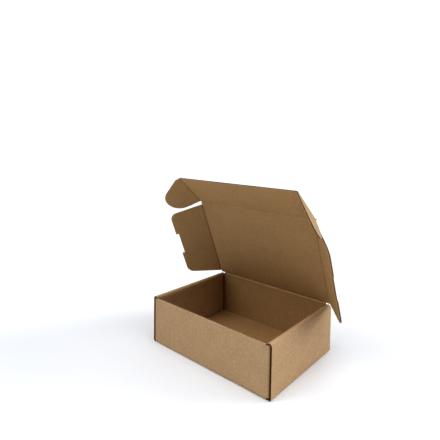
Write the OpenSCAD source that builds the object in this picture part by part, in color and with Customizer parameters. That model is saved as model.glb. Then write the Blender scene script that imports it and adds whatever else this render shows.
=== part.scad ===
/* [Tray] */
// Outside length of the tray, left to right
tray_l = 244; // [200:1:320]
// Outside depth of the tray, front to back
tray_w = 154; // [120:1:200]
// Height of the rolled side walls
side_h = 76; // [50:1:110]
// How far the front panel's edge stays below the top of the side walls
front_drop = 2; // [1.5:0.1:4]

/* [Board] */
// Thickness of the corrugated board
board_t = 3; // [2:0.1:4]
// Inside radius of every fold in the tray
bend_r = 0.6; // [0.4:0.1:1.5]
// Air between two layers of board that lie side by side
layer_gap = 0.3; // [0.2:0.05:0.6]

/* [Side walls] */
// How far the ends of a side wall stay behind the front and back faces
side_inset = 1; // [0:0.1:1.5]
// Length of a locking tab and of its slot in the base
tab_l = 38; // [20:1:60]
// How far a tab's tip stays above the underside of the base
tab_tip_gap = 0.4; // [0.2:0.1:1]
// Space between the ends of an inner side wall and the front and back panels
inner_end_space = 3; // [0.5:0.5:6]
// Corner cut at the lower ends of an inner side wall
inner_corner_cut = 4; // [1:0.5:8]

/* [Corner flaps] */
// Corner cut at the top of each front corner flap
front_flap_cut = 1; // [0.5:0.5:6]
// Space left between the front and the back corner flap inside a side wall
corner_flap_space = 18; // [6:1:40]
// Corner cut at the top of each back corner flap
back_flap_cut = 14; // [4:1:20]

/* [Lid] */
// How far the lid's side creases lie inside the tray's outer faces
lid_side_inset = 2; // [0:0.5:4]
// How far the lid's front crease stands in front of the front panel
lid_front_over = 1; // [0.5:0.5:4]
// Air between the closed lid and the rolled side walls
lid_rest_gap = 0.2; // [0.1:0.05:0.5]

/* [Dust flaps] */
// Length of a dust flap, outwards from its crease
dust_l = 64; // [40:0.5:75]
// Distance from the lid's back crease to the flap
dust_back_gap = 3; // [1:0.5:8]
// Slot between the flap and the lid's front crease
dust_front_gap = 6.5; // [4:0.5:12]
// How much the flap narrows at its back edge
dust_back_taper = 9.5; // [3:0.5:15]
// How much the flap narrows at its front edge
dust_front_taper = 10.5; // [3:0.5:15]
// Radius of the flap's two outer corners
dust_corner_r = 13; // [5:0.5:20]
// Length of the shallow recess in the flap's outer edge
recess_l = 41; // [20:1:60]
// Depth of that recess
recess_d = 5; // [2:0.5:8]
// Distance from the lid's back crease to the recess
recess_back = 55; // [40:1:70]

/* [Tuck flap] */
// Height of the tuck flap
tuck_h = 65; // [45:1:75]

/* [Ears] */
// Length of an ear, outwards from its crease
ear_l = 52; // [36:1:60]
// Radius of an ear's round end
ear_r = 24.5; // [12:0.5:26]
// Length of straight upper edge before the ear slopes down
ear_flat = 10; // [4:1:16]
// Distance from the tuck flap's crease to the root of the ear
ear_root_gap = 1; // [0.5:0.5:4]
// Distance from the tuck flap's crease to the lowest point of the round end
ear_low_gap = 2.5; // [1:0.5:6]

/* [Creases of the moving flaps] */
// Width of the slit along each crease
crease_slit = 0.3; // [0.2:0.05:0.6]
// Slope of the crushed board beside the creases of the flaps
crease_slope = 43; // [30:1:44]
// Slope of the crushed board beside the lid's back crease
hinge_slope = 33; // [25:1:34]

/* [Pose] */
// Angle of the lid above its closed position
lid_angle = 69; // [60:1:120]
// Inward fold of the left dust flap
left_dust_angle = 35; // [0:1:45]
// Inward fold of the right dust flap
right_dust_angle = 45; // [0:1:45]
// Inward fold of the tuck flap
tuck_angle = 26; // [0:1:26]
// Inward fold of the left ear
left_ear_angle = 38; // [0:1:90]
// Inward fold of the right ear
right_ear_angle = 49; // [0:1:90]

/* [Hidden] */

kraft_outside = "#b9935f";
kraft_inside = "#a07c50";
round_fn = 64;

// Fold sizes
fold_r = board_t + bend_r;
// How far shapes of one board run into each other, flush with its faces and across them
overlap = 0.5;
join = 0.01;
// How far a cutting shape reaches past what it cuts
past = 1;

// Side wall: outer board, corner flap and inner board with air between them, under one rolled top
wall_w = 3 * board_t + 2 * layer_gap;
roll_r = wall_w / 2;
roll_z = side_h - roll_r;
half_l = tray_l / 2;
half_w = tray_w / 2;

// Corners: what passes under the rolled tops is cut lower than the panel between them
front_h = side_h - front_drop;
under_roll_h = side_h - board_t - layer_gap;
panel_x = half_l - wall_w - layer_gap;
corner_x = half_l - board_t - layer_gap;
corner_bend_x = corner_x - fold_r;
corner_flap_l = (tray_w - corner_flap_space) / 2;
inner_end_y = half_w - board_t - inner_end_space;

// Lid
lid_l = tray_l - 2 * lid_side_inset;
lid_d = tray_w - board_t / 2 + lid_front_over;
hinge_y = half_w - board_t / 2;
hinge_z = side_h + lid_rest_gap + board_t / 2;

// Longer than any panel, for the cutting shapes
reach = 2 * (tray_l + tray_w);

// Where a line from point p touches the round end with centre c and radius r, on its upper side
function touch_angle(p, c, r) =
    let (away = p - c, far = norm(away)) atan2(away[1], away[0]) - acos(r / far);

// Tray

// A quarter of a fold, with its outer corner at the origin
module fold_quarter() {
    intersection() {
        square(fold_r);
        translate([fold_r, fold_r]) difference() {
            circle(r = fold_r, $fn = round_fn);
            circle(r = bend_r, $fn = round_fn);
        }
    }
}

// Board that comes off the base through a fold and stands up to a height
module folded_up(height) {
    fold_quarter();
    translate([0, fold_r - join]) square([board_t, height - fold_r + join]);
    translate([fold_r - join, 0]) square([overlap, board_t]);
}

// Section of a side wall, from the fold at the base over the roll to the foot of the inner board
module side_section() {
    folded_up(roll_z);
    translate([wall_w - board_t, board_t + layer_gap]) square([board_t, roll_z - board_t - layer_gap]);
    intersection() {
        translate([0, roll_z - join]) square([wall_w, roll_r + past]);
        translate([roll_r, roll_z]) difference() {
            circle(r = roll_r, $fn = round_fn);
            circle(r = roll_r - board_t, $fn = round_fn);
        }
    }
}

// What is cut from one end of a side wall, so that the inner board ends before the front or back panel
module inner_board_end_cut() {
    translate([board_t + layer_gap / 2, inner_end_y, board_t + layer_gap / 2])
        cube([wall_w, board_t + inner_end_space, under_roll_h - board_t + layer_gap / 2]);
    translate([board_t + layer_gap / 2, inner_end_y, board_t + layer_gap])
        rotate([45, 0, 0])
            translate([0, -inner_corner_cut / sqrt(2), -inner_corner_cut / sqrt(2)])
                cube([wall_w, inner_corner_cut * sqrt(2), inner_corner_cut * sqrt(2)]);
}

// One rolled side wall with its locking tab, measured inwards from the tray's left face
module side_wall() {
    difference() {
        rotate([90, 0, 0])
            linear_extrude(height = tray_w - 2 * side_inset, center = true) side_section();
        inner_board_end_cut();
        mirror([0, 1, 0]) inner_board_end_cut();
    }
    translate([wall_w - board_t, -tab_l / 2, tab_tip_gap])
        cube([board_t, tab_l, board_t + layer_gap - tab_tip_gap + overlap]);
}

// Front or back panel with its two corner flaps, standing at the front
module end_panel(height, flap_cut) {
    rotate([90, 0, 90])
        linear_extrude(height = 2 * corner_bend_x, center = true)
            translate([-half_w, 0]) folded_up(under_roll_h);
    translate([-panel_x, -half_w, fold_r]) cube([2 * panel_x, board_t, height - fold_r]);
    for (side = [0, 1]) mirror([side, 0, 0]) corner_flap(flap_cut);
}

module corner_flap(flap_cut) {
    translate([corner_x, -half_w, fold_r])
        linear_extrude(height = under_roll_h - fold_r) mirror([1, 0]) fold_quarter();
    difference() {
        translate([corner_x - board_t, -half_w + fold_r - join, fold_r])
            cube([board_t, corner_flap_l - fold_r + join, under_roll_h - fold_r]);
        translate([corner_x - board_t / 2, -half_w + corner_flap_l, under_roll_h])
            rotate([45, 0, 0]) cube([2 * board_t, flap_cut * sqrt(2), flap_cut * sqrt(2)], center = true);
    }
}

// Slot in the base that a locking tab drops into
module tab_slot() {
    translate([half_l - wall_w - layer_gap, -tab_l / 2 - layer_gap, -past])
        cube([board_t + 2 * layer_gap, tab_l + 2 * layer_gap, board_t + 2 * past]);
}

module base() {
    difference() {
        translate([-half_l + fold_r, -half_w + fold_r, 0])
            cube([tray_l - 2 * fold_r, tray_w - 2 * fold_r, board_t]);
        for (side = [0, 1]) mirror([side, 0, 0]) tab_slot();
    }
}

module tray() color(kraft_outside) {
    base();
    for (side = [0, 1]) mirror([side, 0, 0]) translate([-half_l, 0, 0]) side_wall();
    end_panel(front_h, front_flap_cut);
    mirror([0, 1, 0]) difference() {
        end_panel(hinge_z, back_flap_cut);
        translate([0, -hinge_y, hinge_z]) rotate([90, 0, 0]) hinge_relief();
    }
}

// Creases of the moving flaps

// Board on the +X side of a crease along Y, crushed from both faces towards the crease line
module board_from_crease(slope) {
    slit = crease_slit / 2;
    crushed = board_t / 2 / tan(slope);
    rotate([90, 0, 0])
        linear_extrude(height = reach, center = true)
            polygon([
                [slit, -slit * tan(slope)], [crushed, -board_t / 2], [reach, -board_t / 2],
                [reach, board_t / 2], [crushed, board_t / 2], [slit, slit * tan(slope)]
            ]);
}

// What is cut from the top of a panel that stands below the lid's back crease
module hinge_relief() {
    crushed = board_t / 2 / tan(hinge_slope);
    rotate([0, 0, 180])
        difference() {
            translate([-reach / 2, -2 * board_t, -board_t]) cube([reach, 2 * board_t + crushed, 2 * board_t]);
            rotate([0, 0, 90]) board_from_crease(hinge_slope);
        }
}

// A flat panel of board whose outline is given as a 2D child
module flat_board() {
    linear_extrude(height = board_t, center = true) children();
}

// Lid

module lid_panel() {
    intersection() {
        flat_board() translate([-lid_l / 2, 0]) square([lid_l, lid_d]);
        rotate([0, 0, 90]) board_from_crease(hinge_slope);
        translate([0, lid_d, 0]) rotate([0, 0, -90]) board_from_crease(crease_slope);
        translate([lid_l / 2, 0, 0]) rotate([0, 0, 180]) board_from_crease(crease_slope);
        translate([-lid_l / 2, 0, 0]) board_from_crease(crease_slope);
    }
}

// Places what stands on the lid: X along the crease, Y towards the tuck flap, Z towards the inside
module on_lid() {
    translate([0, hinge_y, hinge_z]) rotate([180 - lid_angle, 0, 0]) children();
}

module lid() color(kraft_outside) on_lid() lid_panel();

// Places a flap on the right-hand or, mirrored, on the left-hand side crease
module on_side_crease(left, angle) {
    mirror([left ? 1 : 0, 0, 0])
        translate([lid_l / 2, 0, 0]) rotate([0, -angle, 0]) children();
}

// Dust flaps

module dust_outline() {
    root_back = dust_back_gap;
    root_front = lid_d - dust_front_gap;
    back_slope = atan2(dust_back_taper, dust_l);
    front_slope = atan2(dust_front_taper, dust_l);
    // Centres of the two corner rounds, tangent to the outer edge and to the slanting sides
    round_x = dust_l - dust_corner_r;
    back_y = root_back + round_x * tan(back_slope) + dust_corner_r / cos(back_slope);
    front_y = root_front - round_x * tan(front_slope) - dust_corner_r / cos(front_slope);
    difference() {
        union() {
            polygon([
                [0, root_back],
                [round_x + dust_corner_r * sin(back_slope), back_y - dust_corner_r * cos(back_slope)],
                [round_x, back_y], [dust_l, back_y], [dust_l, front_y], [round_x, front_y],
                [round_x + dust_corner_r * sin(front_slope), front_y + dust_corner_r * cos(front_slope)],
                [0, root_front]
            ]);
            for (y = [back_y, front_y])
                translate([round_x, y]) circle(r = dust_corner_r, $fn = round_fn);
        }
        translate([dust_l - recess_d, recess_back]) square([recess_d + past, recess_l]);
    }
}

module dust_flap(left, angle) {
    on_lid() on_side_crease(left, angle) intersection() {
        flat_board() dust_outline();
        board_from_crease(crease_slope);
    }
}

module left_dust_flap() color(kraft_inside) dust_flap(true, left_dust_angle);

module right_dust_flap() color(kraft_inside) dust_flap(false, right_dust_angle);

// Tuck flap

module on_tuck() {
    on_lid() translate([0, lid_d, 0]) rotate([tuck_angle, 0, 0]) children();
}

module tuck_flap() color(kraft_outside) on_tuck() intersection() {
    flat_board() translate([-lid_l / 2, 0]) square([lid_l, tuck_h]);
    rotate([0, 0, 90]) board_from_crease(crease_slope);
    translate([lid_l / 2, 0, 0]) rotate([0, 0, 180]) board_from_crease(crease_slope);
    translate([-lid_l / 2, 0, 0]) board_from_crease(crease_slope);
}

// Ears

module ear_outline() {
    centre = [ear_l - ear_r, ear_low_gap + ear_r];
    shoulder = [ear_flat, tuck_h];
    touch = touch_angle(shoulder, centre, ear_r);
    polygon([
        [0, ear_root_gap], [centre[0], ear_low_gap], centre,
        centre + ear_r * [cos(touch), sin(touch)], shoulder, [0, tuck_h]
    ]);
    translate(centre) circle(r = ear_r, $fn = round_fn);
}

module ear(left, angle) {
    on_tuck() on_side_crease(left, angle) intersection() {
        flat_board() ear_outline();
        board_from_crease(crease_slope);
    }
}

module left_ear() color(kraft_inside) ear(true, left_ear_angle);

module right_ear() color(kraft_inside) ear(false, right_ear_angle);

tray();
lid();
left_dust_flap();
right_dust_flap();
tuck_flap();
left_ear();
right_ear();
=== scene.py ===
# %% [markdown]
# # A mailer box, cut flat and folded up
# The real box is one sheet of corrugated kraft board. A die cuts its outline and presses creases into it,
# and folding does the rest. This scene works in the same order: each part is cut as a flat sheet with its
# real thickness, and the same points are then folded along the creases. That way a panel, its cut edges and
# the fluted paper inside them bend together, as they do in the real board.

# %% Load the frame
import math

import bpy
import numpy as np
from mathutils import Matrix, Vector
from mathutils.geometry import delaunay_2d_cdt


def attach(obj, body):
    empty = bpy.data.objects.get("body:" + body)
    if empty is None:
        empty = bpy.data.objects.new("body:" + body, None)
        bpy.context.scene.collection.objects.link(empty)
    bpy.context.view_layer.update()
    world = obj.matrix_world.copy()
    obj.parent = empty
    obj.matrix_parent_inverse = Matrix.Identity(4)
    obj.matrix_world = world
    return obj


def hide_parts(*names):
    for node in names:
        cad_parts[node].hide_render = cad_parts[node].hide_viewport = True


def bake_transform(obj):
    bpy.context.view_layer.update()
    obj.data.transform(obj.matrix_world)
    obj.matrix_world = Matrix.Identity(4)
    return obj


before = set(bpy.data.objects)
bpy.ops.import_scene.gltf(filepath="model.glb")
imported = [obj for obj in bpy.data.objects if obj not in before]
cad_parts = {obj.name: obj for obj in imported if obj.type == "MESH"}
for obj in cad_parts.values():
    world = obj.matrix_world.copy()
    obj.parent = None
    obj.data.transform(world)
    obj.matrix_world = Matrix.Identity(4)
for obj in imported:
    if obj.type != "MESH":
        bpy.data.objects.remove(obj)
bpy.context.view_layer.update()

# %% [markdown]
# ## The camera first
# The camera comes before the shapes. One could turn it by hand
# until the picture looks right, but a box has enough straight edges to work its place out from them. The
# lens shift only moves the box off the middle of the picture.

# %% The camera
IMAGE_SIDE = 440
CAMERA_PLACE = Vector((0.3999, -0.4411, 0.3270))
CAMERA_TURN = math.radians(-35.52)  # round the vertical, from looking along +Y
CAMERA_DIP = math.radians(3.84)  # below the horizon
CAMERA_ROLL = math.radians(1.52)
FOCAL_PIXELS = 377.9
PRINCIPAL = (288.0, 170.0)  # where the lens axis meets the picture, in pixels
SENSOR = 36.0

forward = Vector((
    math.sin(CAMERA_TURN) * math.cos(CAMERA_DIP),
    math.cos(CAMERA_TURN) * math.cos(CAMERA_DIP),
    -math.sin(CAMERA_DIP)))
level = Vector((math.cos(CAMERA_TURN), -math.sin(CAMERA_TURN), 0))
upright = level.cross(forward)
right = math.cos(CAMERA_ROLL) * level + math.sin(CAMERA_ROLL) * upright
up = -math.sin(CAMERA_ROLL) * level + math.cos(CAMERA_ROLL) * upright

lens = bpy.data.cameras.new("camera")
lens.sensor_width = SENSOR
lens.lens = FOCAL_PIXELS / IMAGE_SIDE * SENSOR
lens.shift_x = (IMAGE_SIDE / 2 - PRINCIPAL[0]) / IMAGE_SIDE
lens.shift_y = (PRINCIPAL[1] - IMAGE_SIDE / 2) / IMAGE_SIDE
lens.clip_start, lens.clip_end = 0.01, 100
camera = bpy.data.objects.new("camera", lens)
camera.matrix_world = Matrix.Translation(CAMERA_PLACE) @ Matrix((right, up, -forward)).transposed().to_4x4()
bpy.context.scene.collection.objects.link(camera)
bpy.context.scene.camera = camera
print("lens", round(lens.lens, 1), "mm, shift", round(lens.shift_x, 3), round(lens.shift_y, 3))

# %% [markdown]
# ## The board
# Single-wall board is two flat papers, the liners, glued to a wavy one, the fluting. It is 3 mm thick here.
# Plain slabs with a paper pattern would do from far away. This box shows its cut edges, so the liners and
# the wave between them are real shapes. All sizes of the flat sheet are in millimetres, as a die maker
# draws it.

# %% The board's sizes, in millimetres
MM = 0.001
BOARD = 3.0
HALF = BOARD / 2
LINER = 0.35  # drawn a little thicker than real paper, so that the edge shows in the picture
FLUTE_PITCH = 6.4  # from crest to crest
GRID = 12.0  # spacing of the points inside a flat panel
CLEAR_OF_RIM = 3.6  # no such point lies nearer to the rim than this
PINCH, PINCHED_HALF = 1.5, 0.95  # the die squeezes the board towards its cut edge, here from 3 mm to 1.9 mm
FLAT_RING = 0.9  # a flat ring before the squeeze, so that the panel's shading stays flat
FLAP_GROOVE, TRAY_GROOVE = 1.8, 2.6  # how deep one looks in between the liners
TOUCH = 0.01  # two places closer than this count as the same
print("board", BOARD, "mm thick,", 2 * PINCHED_HALF, "mm at a squeezed edge")

# %% [markdown]
# ### Cutting a sheet
# A sheet is an outline with slots in it and the lines where it will bend. Quads laid by hand would follow
# every change of size badly. A constrained triangulation keeps the outline and the lines as edges, and it
# is a sturdy way to fill any outline, however odd, with even triangles.

# %% Helpers for closed loops
def inside(points, loop):
    """Which of the points lie inside a closed loop."""
    x, y = points[:, 0], points[:, 1]
    found = np.zeros(len(points), bool)
    for (x0, y0), (x1, y1) in zip(loop, np.roll(loop, -1, 0)):
        if y0 != y1:
            found ^= ((y0 > y) != (y1 > y)) & (x < (x1 - x0) * (y - y0) / (y1 - y0) + x0)
    return found


def finely(loop, step):
    """The loop with more points on its long edges."""
    points = []
    for a, b in zip(loop, np.roll(loop, -1, 0)):
        count = max(1, math.ceil(np.linalg.norm(b - a) / step))
        points += [a + (b - a) * i / count for i in range(count)]
    return points


def distance_to(points, loop):
    """How far each point is from a closed loop."""
    nearest = np.full(len(points), np.inf)
    for a, b in zip(loop, np.roll(loop, -1, 0)):
        share = np.clip((points - a) @ (b - a) / max((b - a) @ (b - a), 1e-12), 0, 1)
        nearest = np.minimum(nearest, np.linalg.norm(points - a - share[:, None] * (b - a), axis=1))
    return nearest


# %% Cut a flat sheet
def cut_sheet(outline, slots=(), bend_lines=()):
    """Points and triangles of a flat sheet."""
    loops = [np.array(loop, float) for loop in (outline, *slots)]
    points, edges = [], []
    for loop in loops:
        fine, first = finely(loop, GRID), len(points)
        points += fine
        edges += [(first + i, first + (i + 1) % len(fine)) for i in range(len(fine))]
    for a, b in bend_lines:
        edges.append((len(points), len(points) + 1))
        points += [a, b]
    low, high = loops[0].min(0), loops[0].max(0)
    rows = [np.arange(lo + GRID / 2, hi, GRID) for lo, hi in zip(low, high)]
    grid = np.array(np.meshgrid(*rows)).reshape(2, -1).T
    clear = inside(grid, loops[0])
    for loop in loops:
        clear &= distance_to(grid, loop) > CLEAR_OF_RIM
    points += list(grid[clear])
    found = delaunay_2d_cdt([Vector(p) for p in points], edges, [], 0, 1e-4)
    place, triangles = np.array(found[0], float), np.array(found[2])
    middle = place[triangles].mean(1)
    keep = inside(middle, loops[0])
    for loop in loops[1:]:
        keep &= ~inside(middle, loop)
    used, triangles = np.unique(triangles[keep], return_inverse=True)
    place, triangles = place[used], triangles.reshape(-1, 3)
    a, b, c = (place[triangles[:, i]] for i in range(3))
    turned = (b - a)[:, 0] * (c - a)[:, 1] - (b - a)[:, 1] * (c - a)[:, 0] < 0
    triangles[turned] = triangles[turned][:, ::-1]
    return place, triangles


# %% [markdown]
# ### Giving it thickness
# A Solidify modifier would give the sheet thickness and a plain wall round it. At a real cut edge one looks
# between the two liners, so here the rim goes in under one liner, along the bottom of a groove and out over
# the other. The die that cuts a flap also squeezes its edge, so there the board first gets thinner. Where a
# panel only meets its neighbour at a crease, there is nothing to see and the rim stays flat.

# %% The rim and its section
INNER_FACE, OUTER_FACE, LINER_EDGE, GROOVE, MEDIUM = range(5)
RUBBED = [0, 1, 1, 0, 0, 1, 1, 0]  # the rim's points, from face to face: 1 where hands and neighbours rub it
STRAIGHT = 0.05  # below this sine of its turn, the rim counts as straight
RIM_FACES = [INNER_FACE, INNER_FACE, LINER_EDGE, GROOVE, GROOVE, GROOVE, LINER_EDGE, OUTER_FACE, OUTER_FACE]


def rim(triangles):
    """Which point follows which along the sheet's rim, with the sheet on the left."""
    sides = np.concatenate([triangles[:, [0, 1]], triangles[:, [1, 2]], triangles[:, [2, 0]]]).tolist()
    known = set(map(tuple, sides))
    return {a: b for a, b in known if (b, a) not in known}


def inward(a, b):
    """The direction from the rim's edge a to b into the sheet."""
    along = (b - a) / np.linalg.norm(b - a)
    return np.array((-along[1], along[0]))


def rim_column(place, inner, squeezed, depth):
    """The rim at one point, from the inner face down to the outer one, as points (x, y, n)."""
    ring = squeezed * (PINCH + FLAT_RING)
    pinch = squeezed * PINCH
    cut = np.zeros(2)
    half = PINCHED_HALF if squeezed.any() else HALF
    half_groove = half - LINER
    steps = [(ring, HALF), (pinch, HALF), (cut, half), (cut, half_groove), (inner * depth, half_groove)]
    steps += [(offset, -n) for offset, n in steps[::-1]]
    return [(*(place + offset), n) for offset, n in steps]


# %% From flat sheet to board
def board_of(place, triangles, joined, pinched, depth):
    """The board, which rim point follows which, and which rim edges are open.

    The board is its points (x, y, n), its faces, each face's kind and each point's wear. n is the height
    above the board's middle.
    """
    follows = rim(triangles)
    before = {b: a for a, b in follows.items()}
    open_edge = {a: not joined(place[a], place[b]) for a, b in follows.items()}
    squeezed_edge = {a: open_edge[a] and pinched(place[a], place[b]) for a, b in follows.items()}
    count = len(place)
    points = [(x, y, HALF) for x, y in place] + [(x, y, -HALF) for x, y in place]
    faces = [list(t) for t in triangles] + [[i + count for i in t[::-1]] for t in triangles]
    kinds = [INNER_FACE] * len(triangles) + [OUTER_FACE] * len(triangles)
    worn = [0.0] * len(points)
    column = {}
    for p in follows:
        normals = np.array([inward(place[before[p]], place[p]), inward(place[p], place[follows[p]])])
        steps = []
        for kind in (open_edge, squeezed_edge):
            wanted = np.array([kind[before[p]], kind[p]], float)
            corner = abs(np.linalg.det(normals)) > STRAIGHT
            steps.append(np.linalg.solve(normals, wanted) if corner else normals.mean(0) * wanted.min())
        made = rim_column(place[p], *steps, depth)
        points[p], points[p + count] = made[0], made[-1]
        column[p] = [p]
        for last, now, touched in zip(made, made[1:-1], RUBBED):
            if now == last:
                column[p].append(column[p][-1])
            else:
                column[p].append(len(points))
                points.append(now)
                worn.append(touched)
        if made[-2] == made[-1]:
            column[p] = [p + count if i == column[p][-1] else i for i in column[p]]
        column[p].append(p + count)
    for a, b in follows.items():
        for i, kind in enumerate(RIM_FACES):
            face = [column[a][i], column[a][i + 1], column[b][i + 1], column[b][i]]
            face = [v for v, w in zip(face, face[1:] + face[:1]) if v != w]
            if len(face) > 2:
                faces.append(face)
                kinds.append(kind)
    return (np.array(points), faces, kinds, worn), follows, open_edge


# %% [markdown]
# ## Kraft paper
# Kraft liner is unbleached wood pulp, pressed but not coated. The eye sees a warm mid brown, almost without
# gloss, with cloudy patches where the pulp lay thicker, short fibres along the paper machine's direction,
# and a few dark flecks. Over the flutes the liner dips slightly, which shows as faint stripes. The bump
# shades the dips, and a faint stripe in the colour adds painted shade to them. At a squeezed
# cut edge the surface gets rubbed, and paler pulp shows in spots. All of this is a sum of noises, each at
# its own real size, because paper has no two places alike. Every pattern reads the flat sheet's own
# coordinates, so it follows the board round the folds.

# %% A function that adds a node
def add_node(tree, kind, settings=None, inputs=None):
    """One node with its settings, and its inputs set or linked."""
    node = tree.nodes.new(kind)
    for name, value in (settings or {}).items():
        setattr(node, name, value)
    for name, value in (inputs or {}).items():
        if isinstance(value, bpy.types.NodeSocket):
            tree.links.new(value, node.inputs[name])
        else:
            node.inputs[name].default_value = value
    return node


def srgb(code, alpha=1.0):
    """A hex colour as linear values."""
    parts = [int(code[i:i + 2], 16) / 255 for i in (1, 3, 5)]
    return (*(c / 12.92 if c <= 0.04045 else ((c + 0.055) / 1.055) ** 2.4 for c in parts), alpha)


# %% The kraft liner
SHEET_MAP = "flat_sheet"  # UV map with the place on the flat sheet, in metres
WEAR_MAP = "rubbed"  # 1 on the squeezed cut edges, 0 elsewhere
FLECK = "#6b4a2a"


def kraft(name, dark, light, pale, shift):
    """Kraft liner between a dark and a light tone, with its worn spots in a pale one."""
    material = bpy.data.materials.new(name)
    material.use_nodes = True
    tree = material.node_tree
    tree.nodes.clear()
    place = add_node(tree, "ShaderNodeUVMap", {"uv_map": SHEET_MAP}).outputs["UV"]
    moved = add_node(tree, "ShaderNodeVectorMath", {"operation": "ADD"}, {0: place, 1: shift}).outputs[0]
    # Cloudy patches of about 25 mm, and flocks of pulp of about 6 by 3 mm
    clouds = add_node(tree, "ShaderNodeTexNoise", None,
                      {"Vector": moved, "Scale": 40.0, "Detail": 3.0, "Roughness": 0.55}).outputs["Fac"]
    wide = add_node(tree, "ShaderNodeMapping", None, {"Vector": moved, "Scale": (180, 330, 1)}).outputs[0]
    flocks = add_node(tree, "ShaderNodeTexNoise", None,
                      {"Vector": wide, "Scale": 1.0, "Detail": 3.0, "Roughness": 0.7}).outputs["Fac"]
    # Fibres 4 mm long and 0.7 mm wide and a grain of 1 mm, coarser than real ones so that they show
    long = add_node(tree, "ShaderNodeMapping", None, {"Vector": moved, "Scale": (250, 1500, 1)}).outputs[0]
    fibres = add_node(tree, "ShaderNodeTexNoise", None,
                      {"Vector": long, "Scale": 1.0, "Detail": 2.0, "Roughness": 0.6}).outputs["Fac"]
    grain = add_node(tree, "ShaderNodeTexNoise", None,
                     {"Vector": moved, "Scale": 900.0, "Detail": 2.0, "Roughness": 0.7}).outputs["Fac"]
    # Dips over the flutes, one every 6.4 mm
    across = add_node(tree, "ShaderNodeSeparateXYZ", None, {0: place}).outputs["X"]
    phase = add_node(tree, "ShaderNodeMath", {"operation": "MULTIPLY"},
                     {0: across, 1: 2 * math.pi / (FLUTE_PITCH * MM)}).outputs[0]
    dips = add_node(tree, "ShaderNodeMath", {"operation": "SINE"}, {0: phase}).outputs[0]
    # Flecks: only the highest peaks of a noise of 1.6 mm
    speck = add_node(tree, "ShaderNodeTexNoise", None,
                     {"Vector": moved, "Scale": 620.0, "Detail": 1.0}).outputs["Fac"]
    fleck = add_node(tree, "ShaderNodeMapRange", None,
                     {"Value": speck, "From Min": 0.68, "From Max": 0.78, "To Max": 0.35}).outputs[0]
    # Where an edge is rubbed, the pulp's pale fibres break up in spots of about 3 mm
    spots = add_node(tree, "ShaderNodeTexNoise", None,
                     {"Vector": moved, "Scale": 330.0, "Detail": 2.0}).outputs["Fac"]
    spots = add_node(tree, "ShaderNodeMapRange", None,
                     {"Value": spots, "From Min": 0.53, "From Max": 0.66, "To Max": 0.65}).outputs[0]
    rubbed = add_node(tree, "ShaderNodeAttribute", {"attribute_name": WEAR_MAP}).outputs["Fac"]
    bare = add_node(tree, "ShaderNodeMath", {"operation": "MULTIPLY"}, {0: spots, 1: rubbed}).outputs[0]
    # The tone adds up the patterns round a middle value, and the height does so for the bump
    shares = ((clouds, 0.3), (flocks, 0.9), (fibres, 0.5), (grain, 0.6))
    tone = 0.5 - sum(share for pattern, share in shares) / 2
    # the dips' faint stripe in the colour is painted shade of the flutes
    for pattern, share in ((dips, 0.02), *shares):
        tone = add_node(tree, "ShaderNodeMath", {"operation": "MULTIPLY_ADD"},
                        {0: pattern, 1: share, 2: tone}).outputs[0]
    height = 0.0
    for pattern, share in ((dips, 0.35), (grain, 0.6), (fibres, 0.5)):
        height = add_node(tree, "ShaderNodeMath", {"operation": "MULTIPLY_ADD"},
                          {0: pattern, 1: share, 2: height}).outputs[0]
    colour = srgb(dark)
    for amount, over in ((tone, light), (fleck, FLECK), (bare, pale)):
        colour = add_node(tree, "ShaderNodeMix", {"data_type": "RGBA"},
                          {0: amount, 6: colour, 7: srgb(over)}).outputs[2]
    bump = add_node(tree, "ShaderNodeBump", None,
                    {"Strength": 0.25, "Distance": 0.00025, "Height": height}).outputs[0]
    shader = add_node(tree, "ShaderNodeBsdfPrincipled", None, {
        "Base Color": colour, "Roughness": 0.82, "IOR": 1.45, "Specular IOR Level": 0.25, "Normal": bump})
    add_node(tree, "ShaderNodeOutputMaterial", None, {"Surface": shader.outputs[0]})
    return material


# %% [markdown]
# ### Raw paper
# The die tears the papers as much as it cuts them, so their edges are fuzzy and quite matt. The fluting and
# the insides of the liners were never pressed smooth, and look duller than the outer faces. The fluting is
# darker paper. The liners' insides are drawn darker still, which paints in the shade deep in the groove. Two
# tones and one fine noise are enough for something this narrow. It reads Object coordinates, because the
# groove has no room on the flat sheet's map.

# %% The raw papers at a cut edge
LINER_FUZZ, MEDIUM_FUZZ = 900.0, 700.0  # noise scales, for fuzz of 1.1 and 1.4 mm, coarse enough to show


def raw_paper(name, dark, light, scale):
    """Unpressed paper, seen only at cut edges."""
    material = bpy.data.materials.new(name)
    material.use_nodes = True
    tree = material.node_tree
    tree.nodes.clear()
    place = add_node(tree, "ShaderNodeTexCoord").outputs["Object"]
    fuzz = add_node(tree, "ShaderNodeTexNoise", None,
                    {"Vector": place, "Scale": scale, "Detail": 3.0}).outputs["Fac"]
    colour = add_node(tree, "ShaderNodeMix", {"data_type": "RGBA"},
                      {0: fuzz, 6: srgb(dark), 7: srgb(light)}).outputs[2]
    bump = add_node(tree, "ShaderNodeBump", None,
                    {"Strength": 0.3, "Distance": 0.0002, "Height": fuzz}).outputs[0]
    shader = add_node(tree, "ShaderNodeBsdfPrincipled", None, {
        "Base Color": colour, "Roughness": 0.95, "IOR": 1.45, "Specular IOR Level": 0.15, "Normal": bump})
    add_node(tree, "ShaderNodeOutputMaterial", None, {"Surface": shader.outputs[0]})
    return material


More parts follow.
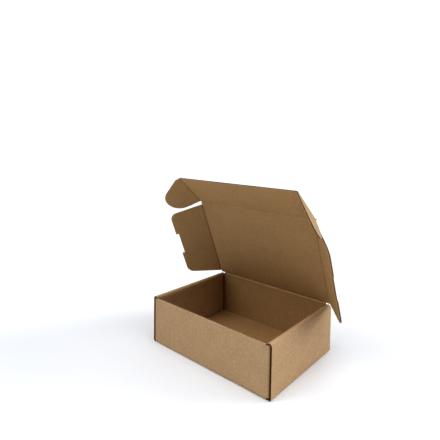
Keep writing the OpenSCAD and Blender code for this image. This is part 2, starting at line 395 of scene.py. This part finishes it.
# %% The papers of this board
OUTSIDE_PATCH = (0.0, 0.0, 0.0)
INSIDE_PATCH = (3.1, 1.7, 0.0)  # another part of the endless pattern, so that the two faces differ
liner_inside = kraft("kraft liner inside", "#8c6a41", "#b7966a", "#cdb48e", INSIDE_PATCH)
liner_outside = kraft("kraft liner outside", "#9a7a57", "#c8ab87", "#ecdcc2", OUTSIDE_PATCH)
liner_crushed = kraft("kraft liner crushed in a crease", "#a17c4f", "#cdab7c", "#cdb48e", INSIDE_PATCH)
liner_edge = raw_paper("cut edge of kraft liner", "#94744d", "#c6a67d", LINER_FUZZ)
# the liners' insides in the groove, drawn darker than their paper: painted shade
groove_paper = raw_paper("inside of the liners", "#4f3922", "#755a39", MEDIUM_FUZZ)
fluting_paper = raw_paper("fluting medium", "#6f5537", "#9c7c54", MEDIUM_FUZZ)
BOARD_MATERIALS = [liner_inside, liner_outside, liner_edge, groove_paper, fluting_paper]
print("materials:", [m.name for m in BOARD_MATERIALS])

# %% [markdown]
# ### The fluting
# The wave in the groove repeats along every cut edge, so Geometry Nodes make it. The tree takes the rim as a
# line, lifts each point by a sine of its place across the flutes, and sweeps a narrow strip of paper along
# it. Cut across the flutes, the edge shows the wave. Cut along them, it shows one straight paper.

# %% The fluting tree
MEDIUM_PAPER = 0.3  # how thick the wavy paper is
SET_BACK = 0.08  # how far it stays back from the cut
WAVE_STEP = 0.5  # spacing of the points along it


def fluting_tree():
    """Turns a rim line into a wavy strip of paper."""
    tree = bpy.data.node_groups.new("fluting along a cut edge", "GeometryNodeTree")
    sizes = ("pitch", "swing", "depth", "paper", "step")
    tree.interface.new_socket("rim", in_out="INPUT", socket_type="NodeSocketGeometry")
    for name in sizes:
        tree.interface.new_socket(name, in_out="INPUT", socket_type="NodeSocketFloat")
    tree.interface.new_socket("strip", in_out="OUTPUT", socket_type="NodeSocketGeometry")
    given = add_node(tree, "NodeGroupInput").outputs
    line = add_node(tree, "GeometryNodeMeshToCurve", None, {"Mesh": given["rim"]}).outputs[0]
    line = add_node(tree, "GeometryNodeResampleCurve", {"mode": "LENGTH"},
                    {"Curve": line, "Length": given["step"]}).outputs[0]
    line = add_node(tree, "GeometryNodeSetCurveNormal", {"mode": "Z_UP"}, {"Curve": line}).outputs[0]
    across = add_node(tree, "ShaderNodeSeparateXYZ", None,
                      {0: add_node(tree, "GeometryNodeInputPosition").outputs[0]}).outputs["X"]
    turns = add_node(tree, "ShaderNodeMath", {"operation": "DIVIDE"},
                     {0: across, 1: given["pitch"]}).outputs[0]
    angle = add_node(tree, "ShaderNodeMath", {"operation": "MULTIPLY"}, {0: turns, 1: 2 * math.pi}).outputs[0]
    wave = add_node(tree, "ShaderNodeMath", {"operation": "SINE"}, {0: angle}).outputs[0]
    lift = add_node(tree, "ShaderNodeMath", {"operation": "MULTIPLY"},
                    {0: wave, 1: given["swing"]}).outputs[0]
    offset = add_node(tree, "ShaderNodeCombineXYZ", None, {"Z": lift}).outputs[0]
    line = add_node(tree, "GeometryNodeSetPosition", None, {"Geometry": line, "Offset": offset}).outputs[0]
    section = add_node(tree, "GeometryNodeCurvePrimitiveQuadrilateral", None,
                       {"Width": given["depth"], "Height": given["paper"]}).outputs[0]
    strip = add_node(tree, "GeometryNodeCurveToMesh", None,
                     {"Curve": line, "Profile Curve": section, "Fill Caps": True}).outputs[0]
    strip = add_node(tree, "GeometryNodeRealizeInstances", None, {"Geometry": strip}).outputs[0]
    strip = add_node(tree, "GeometryNodeSetMaterial", None,
                     {"Geometry": strip, "Material": fluting_paper}).outputs[0]
    add_node(tree, "NodeGroupOutput", None, {0: strip})
    return tree


FLUTING = fluting_tree()
print("the fluting tree has", len(FLUTING.nodes), "nodes")


# %% Fluting for one sheet
def fluting_along(name, place, follows, open_edge, depth):
    """The wavy strip for the open stretches of a sheet's rim, as points and faces."""
    sizes = {"pitch": FLUTE_PITCH, "swing": PINCHED_HALF - LINER - MEDIUM_PAPER / 2, "depth": depth,
             "paper": MEDIUM_PAPER, "step": WAVE_STEP}
    middle = depth / 2 + SET_BACK
    shifted, index = [], {}
    before = {b: a for a, b in follows.items()}
    for p in follows:
        normal = inward(place[before[p]], place[p]) + inward(place[p], place[follows[p]])
        index[p] = len(shifted)
        shifted.append((*(place[p] + middle * normal / max(np.linalg.norm(normal), 1e-6)), 0))
    edges = [(index[a], index[b]) for a, b in follows.items() if open_edge[a]]
    line = bpy.data.meshes.new(name + " rim")
    line.from_pydata(shifted, edges, [])
    maker = bpy.data.objects.new(name + " rim", line)
    bpy.context.scene.collection.objects.link(maker)
    modifier = maker.modifiers.new("fluting", "NODES")
    modifier.node_group = FLUTING
    for socket in FLUTING.interface.items_tree:
        if socket.name in sizes:
            modifier[socket.identifier] = sizes[socket.name]
    made = bpy.data.meshes.new_from_object(maker.evaluated_get(bpy.context.evaluated_depsgraph_get()))
    points = np.empty(len(made.vertices) * 3)
    made.vertices.foreach_get("co", points)
    faces = [list(f.vertices) for f in made.polygons]
    maker.modifiers.remove(modifier)
    bpy.data.objects.remove(maker)
    bpy.data.meshes.remove(line)
    bpy.data.meshes.remove(made)
    return points.reshape(-1, 3), faces


# %% [markdown]
# ## Folding
# Bones or a Simple Deform modifier could bend a sheet too, but they stretch it a little. Here two small
# functions move the points. A fold bends the board round a radius: what lies before it stays, the arc takes
# up its own length of sheet, and what lies past it comes out turned. Folds are applied from the outermost
# inwards, so a corner flap first turns on its panel and then stands up with it.

# %% Two kinds of fold
def fold_round(u, n, radius, angle):
    """Bends the sheet towards its inside from u = 0 on, with its middle on that radius."""
    turn = np.clip(u / radius, 0, angle)
    past = np.maximum(u - radius * angle, 0)
    return (np.minimum(u, 0) + (radius - n) * np.sin(turn) + past * np.cos(turn),
            radius - (radius - n) * np.cos(turn) + past * np.sin(turn))


def fold_sharp(u, n, angle, half_width):
    """Turns the sheet about a crease line at u = 0, smoothly within half_width of it."""
    share = np.clip((u / half_width + 1) / 2, 0, 1)
    turn = angle * share * share * (3 - 2 * share)
    return u * np.cos(turn) - n * np.sin(turn), u * np.sin(turn) + n * np.cos(turn)


# %% From flat parts to a piece
SHARP_EDGE = math.radians(35)


def finished(name, parts, fold, body, *nodes, slot="kraft_board_outside", inner=liner_inside):
    """Folds the flat parts and makes the piece. A crease strip has no body of its own: its body is None."""
    points, faces, kinds, flat, worn = [], [], [], [], []
    for part_points, part_faces, part_kinds, part_worn in parts:
        first = sum(map(len, points))
        points.append(fold(part_points))
        flat.append(part_points[:, :2])
        faces += [[i + first for i in f] for f in part_faces]
        kinds += part_kinds
        worn += part_worn
    mesh = bpy.data.meshes.new(name)
    mesh.from_pydata(np.concatenate(points) * MM, [], faces)
    for material in [inner, *BOARD_MATERIALS[1:]]:
        mesh.materials.append(material)
    mesh.polygons.foreach_set("material_index", kinds)
    corners = np.empty(len(mesh.loops), int)
    mesh.loops.foreach_get("vertex_index", corners)
    layer = mesh.uv_layers.new(name=SHEET_MAP)
    layer.uv.foreach_set("vector", (np.concatenate(flat)[corners] * MM).astype(np.float32).ravel())
    mesh.attributes.new(WEAR_MAP, "FLOAT", "POINT").data.foreach_set("value", worn)
    mesh.shade_smooth()
    mesh.set_sharp_from_angle(angle=SHARP_EDGE)
    mesh.validate()
    piece = bpy.data.objects.new(name, mesh)
    bpy.context.scene.collection.objects.link(piece)
    if body:
        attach(piece, body)
    if nodes:
        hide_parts(*nodes)
    print(name, len(mesh.vertices), "points", len(mesh.polygons), "faces")
    return piece


def cut_board(name, outline, joined, slots=(), bend_lines=(), pinched=lambda a, b: True, depth=FLAP_GROOVE):
    """The flat board and the fluting in its cut edges, ready to fold."""
    place, triangles = cut_sheet(outline, slots, bend_lines)
    board, follows, open_edge = board_of(place, triangles, joined, pinched, depth)
    strip_points, strip_faces = fluting_along(name, place, follows, open_edge, depth)
    return [board, (strip_points, strip_faces, [MEDIUM] * len(strip_faces), [0.0] * len(strip_points))]


# %% [markdown]
# ## The tray
# The tray is the sheet's lower part: the base, the front and back panels with a flap at each corner, and
# the side walls, which rise, roll over the corner flaps and come down again inside, where their tabs drop
# into slots in the base. Five slabs put together would leave a seam at every fold, so it is drawn flat as
# one outline. Each side wall's front edge lies in a narrow gap behind the front panel's fold, where little
# light gets in. There its paper is drawn darker, which is painted shade.

# %% The tray's sizes on the flat sheet
HALF_L, HALF_W = 122.0, 77.0  # half the tray's length and width
FOLD_R = 2.1  # radius of the board's middle in a fold, 0.6 inside
ROLL_R = 3.3  # the same where a side wall rolls over
FOLD_LENGTH = FOLD_R * math.pi / 2
ROLL_LENGTH = ROLL_R * math.pi
FOLD_STEPS, ROLL_STEPS = 6, 14
STAND = 3.6  # height at which a folded panel stands straight
ROLL_Z, FOOT_Z, TAB_Z = 71.2, 3.3, 0.4  # heights where the roll starts, and of the inner wall's foot and tabs
NARROW_FROM = 150  # degrees of the roll after which the inner wall is narrower
FRONT_H, UNDER_ROLL_H = 74.0, 72.7  # heights of the front panel and of the corner flaps under the rolls
HINGE_Y, HINGE_Z = 75.5, 77.7  # the lid's back crease
HINGE_HALF = 2.31  # half the width of that crease's crushed strip
PANEL_X, FLAP_FOLD_X = 112.1, 115.1  # half an end panel's top, and where its corner flaps start to fold
SIDE_Y, INNER_Y = 76.0, 71.0  # half a side wall's length, outside and inside
END_FROM_Y = SIDE_Y + 0.35  # from here on, the sheet belongs to an end panel
CORNER_FLAP = 64.4  # its length past the fold
FRONT_FLAP_CUT, BACK_FLAP_CUT, FOOT_CUT = 1.0, 14.0, 1.2  # corners cut off
TAB_HALF, SLOT_HALF, SLOT_X0, SLOT_X1 = 19.0, 19.3, 112.1, 115.7  # the locking tabs and their slots

side_fold = HALF_L - STAND
end_fold = HALF_W - STAND
end_stand = end_fold + FOLD_LENGTH
roll_start = side_fold + FOLD_LENGTH + ROLL_Z - STAND
roll_end = roll_start + ROLL_LENGTH
foot = roll_end + ROLL_Z - FOOT_Z
inner_start = roll_start + ROLL_LENGTH * NARROW_FROM / 180
flap_stand = FLAP_FOLD_X + FOLD_LENGTH
flap_tip = flap_stand + CORNER_FLAP
end_top = {"front": end_stand + FRONT_H - STAND, "back": end_stand + HINGE_Z - HINGE_HALF - STAND}
under_roll = end_stand + UNDER_ROLL_H - STAND


def tray_quarter(top, flap_cut):
    """The right-hand outline of one end, from the panel's top corner round to the middle of the side wall."""
    return [
        (PANEL_X, top), (PANEL_X, under_roll), (flap_tip - flap_cut, under_roll),
        (flap_tip, under_roll - flap_cut), (flap_tip, end_stand), (FLAP_FOLD_X, end_stand),
        (FLAP_FOLD_X, end_fold), (side_fold, end_fold),
        (side_fold, SIDE_Y), (inner_start, SIDE_Y), (inner_start, INNER_Y), (foot - FOOT_CUT, INNER_Y),
        (foot, INNER_Y - FOOT_CUT), (foot, TAB_HALF), (foot + FOOT_Z - TAB_Z, TAB_HALF)]


back_quarter = np.array(tray_quarter(end_top["back"], BACK_FLAP_CUT))
front_quarter = np.array(tray_quarter(end_top["front"], FRONT_FLAP_CUT)) * (1, -1)
tray_outline = np.concatenate([
    front_quarter, back_quarter[::-1], back_quarter * (-1, 1), (front_quarter * (-1, 1))[::-1]])
tab_slot = np.array([
    (SLOT_X0, -SLOT_HALF), (SLOT_X1, -SLOT_HALF), (SLOT_X1, SLOT_HALF), (SLOT_X0, SLOT_HALF)])
print("the tray's flat sheet measures", np.ptp(tray_outline, 0).round(1), "mm")

# %% Where the tray bends
PAST_RIM = 0.2  # a bend line reaches this far past the rim, so that it cuts it

tray_bends = []
for start, length, steps in ((side_fold, FOLD_LENGTH, FOLD_STEPS), (roll_start, ROLL_LENGTH, ROLL_STEPS)):
    for i in range(steps + 1):
        x = start + length * i / steps
        tray_bends.append(((x, -SIDE_Y - PAST_RIM), (x, SIDE_Y + PAST_RIM)))
        tray_bends.append(((-x, -SIDE_Y - PAST_RIM), (-x, SIDE_Y + PAST_RIM)))
for end in (-1, 1):
    for i in range(FOLD_STEPS + 1):
        y = end * (end_fold + FOLD_LENGTH * i / FOLD_STEPS)
        tray_bends.append(((-FLAP_FOLD_X - PAST_RIM, y), (FLAP_FOLD_X + PAST_RIM, y)))
        x = FLAP_FOLD_X + FOLD_LENGTH * i / FOLD_STEPS
        for side in (-1, 1):
            tray_bends.append(
                ((side * x, end * (end_stand - PAST_RIM)), (side * x, end * (under_roll + PAST_RIM))))
print(len(tray_bends), "bend lines")


# %% Fold the tray
def fold_tray(points):
    """From the flat sheet to the standing tray."""
    x, y, n = np.abs(points[:, 0]), np.abs(points[:, 1]), points[:, 2]
    in_side = (x > side_fold - TOUCH) & (y < END_FROM_Y)
    # Side walls: the roll first, then the fold at the base
    u, m = fold_round(x - roll_start, n, ROLL_R, math.pi)
    u, m = fold_round(u + roll_start - side_fold, m, FOLD_R, math.pi / 2)
    side = np.stack([u + side_fold, y, m], 1)
    # End panels: the corner flaps first, then the fold at the base
    u, m = fold_round(np.where(y > END_FROM_Y, x - FLAP_FOLD_X, -1.0), n, FOLD_R, math.pi / 2)
    end_x = np.where(y > END_FROM_Y, u + FLAP_FOLD_X, x)
    v, m = fold_round(y - end_fold, m, FOLD_R, math.pi / 2)
    end = np.stack([end_x, v + end_fold, m], 1)
    folded = np.where(in_side[:, None], side, end)
    folded[:, 2] += HALF
    return folded * np.stack([np.sign(points[:, 0]), np.sign(points[:, 1]), np.ones(len(points))], 1)


# %% Cut and fold the tray
def squeezed_tray_edge(a, b):
    """The front panel's top, and the back end of each roll, which the lid passes as it opens."""
    front_top = max(a[1], b[1]) < TOUCH - end_top["front"]
    back_end = abs(a[1] - SIDE_Y) < TOUCH and abs(b[1] - SIDE_Y) < TOUCH
    return front_top or (back_end and min(abs(a[0]), abs(b[0])) > roll_start - TOUCH)


tray_parts = cut_board(
    "tray", tray_outline, lambda a, b: min(a[1], b[1]) > end_top["back"] - TOUCH,
    [tab_slot, tab_slot * (-1, 1)], tray_bends, squeezed_tray_edge, TRAY_GROOVE)
tray = finished("tray_board", tray_parts, fold_tray, "tray", "tray")

# %% Painted shade on the side walls' front edges
# darker copies of the edge papers: painted shade in the gap behind the front panel's fold
painted_shade_edge = raw_paper("cut edge of kraft liner, painted shade", "#75502a", "#956b3c", LINER_FUZZ)
painted_shade_groove = raw_paper("inside of the liners, painted shade", "#4a2f14", "#654221", MEDIUM_FUZZ)
SHADE_EDGE_INDEX = len(tray.data.materials)
SHADE_GROOVE_INDEX = SHADE_EDGE_INDEX + 1
DARKER = {LINER_EDGE: SHADE_EDGE_INDEX, GROOVE: SHADE_GROOVE_INDEX, MEDIUM: SHADE_GROOVE_INDEX}
GAP_Y, GAP_X = -0.0745, 0.1185  # the gap's place in the folded tray, in metres
for material in (painted_shade_edge, painted_shade_groove):
    tray.data.materials.append(material)
for face in tray.data.polygons:
    if face.center.y < GAP_Y and abs(face.center.x) > GAP_X:
        face.material_index = DARKER.get(face.material_index, face.material_index)
print(sum(face.material_index >= SHADE_EDGE_INDEX for face in tray.data.polygons), "darker faces")

# %% [markdown]
# ## The lid and its flaps
# The sheet goes on past the back panel: lid, tuck flap and the flaps at their sides. Folding them as one
# mesh would fix them in one pose. Each of them turns on its own crease, so each is a piece of its own, and a
# narrow strip of crushed board joins every two. The strips are folded to the pose drawn here, and everything
# between them stays flat.

# %% The lid's sizes on the flat sheet
LID_HALF, LID_D = 120.0, 153.5  # half the lid's width, and its depth from crease to crease
LID_FOOT = -0.3  # beside the back crease the lid reaches down almost to the rolled side wall
FLAP_HALF = 1.61  # half the width of a flap's crushed crease
DUST_L, DUST_BACK, DUST_FRONT = 64.0, 3.0, LID_D - 6.5  # a dust flap's length, and its ends along the lid
DUST_BACK_TAPER, DUST_FRONT_TAPER, DUST_R = 9.5, 10.5, 13.0  # how far its ends slant, and its corners
RECESS_L, RECESS_D, RECESS_BACK = 41.0, 5.0, 55.0  # the recess in its long edge
TUCK_H = 65.0  # the tuck flap's height
EAR_L, EAR_R, EAR_FLAT, EAR_LOW = 52.0, 24.5, 10.0, 2.5  # an ear's length, radius, flat top and lower gap
HINGE_BEND, TUCK_BEND = math.radians(90 - 69), math.radians(26)  # how far each crease is turned here
DUST_BEND = {-1: math.radians(35), 1: math.radians(45)}
EAR_BEND = {-1: math.radians(38), 1: math.radians(49)}
HINGE_BEND_HALF, FLAP_BEND_HALF = 1.7, 0.95  # half the width in which a crease turns
BESIDE = 0.1  # how far past a flap's ends the sheet still turns with it
lid_side, lid_front = LID_HALF - FLAP_HALF, LID_D - FLAP_HALF


# %% Press and fold the lid
INNER_CRUSH, OUTER_CRUSH = 0.75, 0.25  # how much of its half of the board each side of a crease loses


def press_score(u, n, half_width):
    """The rule that presses a crease crushes the inner side most."""
    depth = np.clip(1 - (u / half_width) ** 2, 0, 1) ** 2
    return n * (1 - np.where(n > 0, INNER_CRUSH, OUTER_CRUSH) * depth)


def fold_lid(points):
    """From the flat sheet to the open lid. On the sheet, y counts from the back crease on."""
    side = np.where(points[:, 0] < 0, -1.0, 1.0)
    x, y, n = np.abs(points[:, 0]), points[:, 1], points[:, 2]
    on_tuck = y > LID_D - FLAP_HALF / 2
    beside_lid = (y > DUST_BACK - BESIDE) & (y < DUST_FRONT + BESIDE)
    beside = np.where(on_tuck, y > LID_D + FLAP_HALF - TOUCH, beside_lid)
    n = np.where(beside, press_score(x - LID_HALF, n, FLAP_HALF), n)
    n = press_score(y - LID_D, n, FLAP_HALF)
    n = np.where(x < PANEL_X + TOUCH, press_score(y, n, HINGE_HALF), n)
    angle = np.where(on_tuck, np.where(side < 0, EAR_BEND[-1], EAR_BEND[1]),
                     np.where(side < 0, DUST_BEND[-1], DUST_BEND[1]))
    u, n = fold_sharp(x - LID_HALF, n, np.where(beside, angle, 0.0), FLAP_BEND_HALF)
    v, n = fold_sharp(y - LID_D, n, TUCK_BEND, FLAP_BEND_HALF)
    w, n = fold_sharp(v + LID_D, n, HINGE_BEND, HINGE_BEND_HALF)
    return np.stack([side * (u + LID_HALF), HINGE_Y - n, HINGE_Z + w], 1)


# %% The outlines of the lid's panels
def arc(centre, radius, start, end, count=14):
    """Points on a circle, between two angles in degrees."""
    angles = np.radians(np.linspace(start, end, count))
    return [(centre[0] + radius * math.cos(a), centre[1] + radius * math.sin(a)) for a in angles]


back_slope = math.atan2(DUST_BACK_TAPER, DUST_L)
front_slope = math.atan2(DUST_FRONT_TAPER, DUST_L)
round_x = DUST_L - DUST_R
back_round = (round_x, DUST_BACK + round_x * math.tan(back_slope) + DUST_R / math.cos(back_slope))
front_round = (round_x, DUST_FRONT - round_x * math.tan(front_slope) - DUST_R / math.cos(front_slope))
dust_root = [(FLAP_HALF, DUST_BACK + FLAP_HALF * math.tan(back_slope)),
             (FLAP_HALF, DUST_FRONT - FLAP_HALF * math.tan(front_slope))]
dust_outline = [
    dust_root[0],
    *arc(back_round, DUST_R, -90 + math.degrees(back_slope), 0),
    (DUST_L, RECESS_BACK), (DUST_L - RECESS_D, RECESS_BACK),
    (DUST_L - RECESS_D, RECESS_BACK + RECESS_L), (DUST_L, RECESS_BACK + RECESS_L),
    *arc(front_round, DUST_R, 0, 90 - math.degrees(front_slope)),
    dust_root[1]]
ear_centre = np.array((EAR_L - EAR_R, EAR_LOW + EAR_R))
to_shoulder = np.array((EAR_FLAT, TUCK_H)) - ear_centre
shoulder_touch = math.degrees(
    math.atan2(to_shoulder[1], to_shoulder[0]) - math.acos(EAR_R / np.linalg.norm(to_shoulder)))
ear_outline = [
    (FLAP_HALF, FLAP_HALF), *arc(ear_centre, EAR_R, -90, shoulder_touch, count=30),
    (EAR_FLAT, TUCK_H), (FLAP_HALF, TUCK_H)]
lid_outline = [
    (PANEL_X, HINGE_HALF), (PANEL_X, LID_FOOT), (LID_HALF, LID_FOOT), (LID_HALF, DUST_BACK),
    (lid_side, DUST_BACK), (lid_side, DUST_FRONT), (LID_HALF, DUST_FRONT), (LID_HALF, lid_front)]
lid_outline = lid_outline + [(-x, y) for x, y in lid_outline[::-1]]


# %% Cut and fold the lid's panels
def on_sheet(outline, side, start):
    """Puts a flap's outline on the sheet, beside the lid or the tuck flap."""
    placed = np.array([(side * (LID_HALF + x), start + y) for x, y in outline])
    return placed if side > 0 else placed[::-1]


SEAM_X = (lid_side, LID_HALF + FLAP_HALF)
SEAM_Y = (HINGE_HALF, lid_front, LID_D + FLAP_HALF)


def on_seam(a, b):
    """Whether an edge of the rim lies on a line where a crease strip joins."""
    return any(
        abs(abs(a[axis]) - at) < 2 * TOUCH and abs(abs(b[axis]) - at) < 2 * TOUCH
        for axis, places in enumerate((SEAM_X, SEAM_Y)) for at in places)


lid_parts = cut_board("lid", lid_outline, on_seam)
finished("lid_board", lid_parts, fold_lid, "lid", "lid")
tuck_parts = cut_board("tuck", [
    (lid_side, LID_D + FLAP_HALF), (lid_side, LID_D + TUCK_H), (-lid_side, LID_D + TUCK_H),
    (-lid_side, LID_D + FLAP_HALF)], on_seam)
finished("tuck_flap_board", tuck_parts, fold_lid, "tuck_flap", "tuck_flap")
for side, word in ((-1, "left"), (1, "right")):
    flap_parts = cut_board(word + " dust", on_sheet(dust_outline, side, 0), on_seam)
    finished(word + "_dust_flap_board", flap_parts, fold_lid, word + "_dust_flap", word + "_dust_flap",
             slot="kraft_board_inside")
    ear_parts = cut_board(word + " ear", on_sheet(ear_outline, side, LID_D), on_seam)
    finished(word + "_ear_board", ear_parts, fold_lid, word + "_ear", word + "_ear",
             slot="kraft_board_inside")

# %% [markdown]
# ### The creases
# A gap at a crease would let light through, and a stiff strip would stick out as the lid turns. Each strip
# here is folded once, to the pose drawn, and belongs to no body. The rule presses the two long creases
# hardest, so their inner liner is crushed and looks lighter.

# %% Crease strips
CREASE_STEPS = 6  # rows of points on each side of a crease's middle
LINE_REACH = 1.0  # how far a crease's lines run past its ends


def crease_rows(half_width):
    """The places of a crease's inner lines, from its middle."""
    return [half_width * i / CREASE_STEPS for i in range(1 - CREASE_STEPS, CREASE_STEPS)]


def strip_across(side, low, high, far_low, far_high):
    """The strip between a panel and its side flap, whose ends slant with the flap."""
    outline = [(side * (LID_HALF - FLAP_HALF), low), (side * (LID_HALF + FLAP_HALF), far_low),
               (side * (LID_HALF + FLAP_HALF), far_high), (side * (LID_HALF - FLAP_HALF), high)]
    lines = [((side * (LID_HALF + x), low - LINE_REACH), (side * (LID_HALF + x), high + LINE_REACH))
             for x in crease_rows(FLAP_HALF)]
    return (outline if side > 0 else outline[::-1]), lines


def strip_along(y, half_width, half_length):
    """The strip across the whole sheet, between one panel and the next."""
    outline = [(-half_length, y - half_width), (half_length, y - half_width),
               (half_length, y + half_width), (-half_length, y + half_width)]
    lines = [((-half_length - LINE_REACH, y + row), (half_length + LINE_REACH, y + row))
             for row in crease_rows(half_width)]
    return outline, lines


def crease(name, strip, inner=liner_inside):
    """Cuts and folds one strip."""
    outline, lines = strip
    parts = cut_board(name, outline, on_seam, bend_lines=lines)
    piece = finished(name, parts, fold_lid, None, inner=inner)
    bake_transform(piece)


# %% Join the panels
crease("lid_crease", strip_along(0, HINGE_HALF, PANEL_X),
       liner_crushed)
crease("tuck_crease", strip_along(LID_D, FLAP_HALF, LID_HALF),
       liner_crushed)
low, top = LID_D + FLAP_HALF, LID_D + TUCK_H
for side, word in ((-1, "left"), (1, "right")):
    strip = strip_across(side, DUST_BACK, DUST_FRONT, dust_root[0][1], dust_root[1][1])
    crease(word + "_dust_crease", strip)
    crease(word + "_ear_crease", strip_across(side, low, top, low, top))

# %% [markdown]
# ## Floor and light
# The box stands in a white studio. Light from a white world all round would make every face alike. So the
# white background is a world that the camera sees but that lights nothing, and the light comes from chosen
# sides. Five wide suns do that: a sun with a wide disc lights the whole floor evenly and still gives soft
# shadows, as a large studio lamp does. The contrast look is the one that such a product photograph has.

# %% The floor
FLOOR_HALF, FLOOR_Z = 30.0, -0.0003  # in metres
floor_mesh = bpy.data.meshes.new("floor")
floor_corners = [(x * FLOOR_HALF, y * FLOOR_HALF, FLOOR_Z) for x, y in ((-1, -1), (1, -1), (1, 1), (-1, 1))]
floor_mesh.from_pydata(floor_corners, [], [(0, 1, 2, 3)])
floor = bpy.data.objects.new("floor", floor_mesh)
bpy.context.scene.collection.objects.link(floor)
paper = bpy.data.materials.new("matt white studio floor")
paper.use_nodes = True
for name, value in {"Base Color": srgb("#f0f3f8"), "Roughness": 0.9, "Specular IOR Level": 0.0}.items():
    paper.node_tree.nodes["Principled BSDF"].inputs[name].default_value = value
floor_mesh.materials.append(paper)
print("floor", 2 * FLOOR_HALF, "m wide")

# %% The light
world = bpy.data.worlds.new("white background")
bpy.context.scene.world = world
world.use_nodes = True
for name, value in {"Color": srgb("#ffffff"), "Strength": 1.0}.items():
    world.node_tree.nodes["Background"].inputs[name].default_value = value
world.cycles_visibility.diffuse = False
world.cycles_visibility.glossy = False


def wide_sun(name, azimuth, elevation, width, strength):
    """A lamp far away with a wide disc. The azimuth counts from the front towards the right, in degrees."""
    light = bpy.data.lights.new(name, "SUN")
    light.energy, light.angle = strength, math.radians(width)
    a, e = math.radians(azimuth), math.radians(elevation)
    towards_box = Vector((-math.sin(a) * math.cos(e), math.cos(a) * math.cos(e), -math.sin(e)))
    holder = bpy.data.objects.new(name, light)
    holder.rotation_euler = towards_box.to_track_quat("-Z", "Y").to_euler()
    bpy.context.scene.collection.objects.link(holder)


wide_sun("high, front left", 330, 58, 40, 1.28)
wide_sun("high, right", 90, 59, 48, 1.2)
wide_sun("high, back left", 225, 58, 40, 0.45)
wide_sun("low, back right", 135, 25, 34, 1.46)
wide_sun("low, front left", 315, 25, 34, 0.6)
bpy.context.scene.view_settings.view_transform = "Standard"
bpy.context.scene.view_settings.look = "Medium High Contrast"
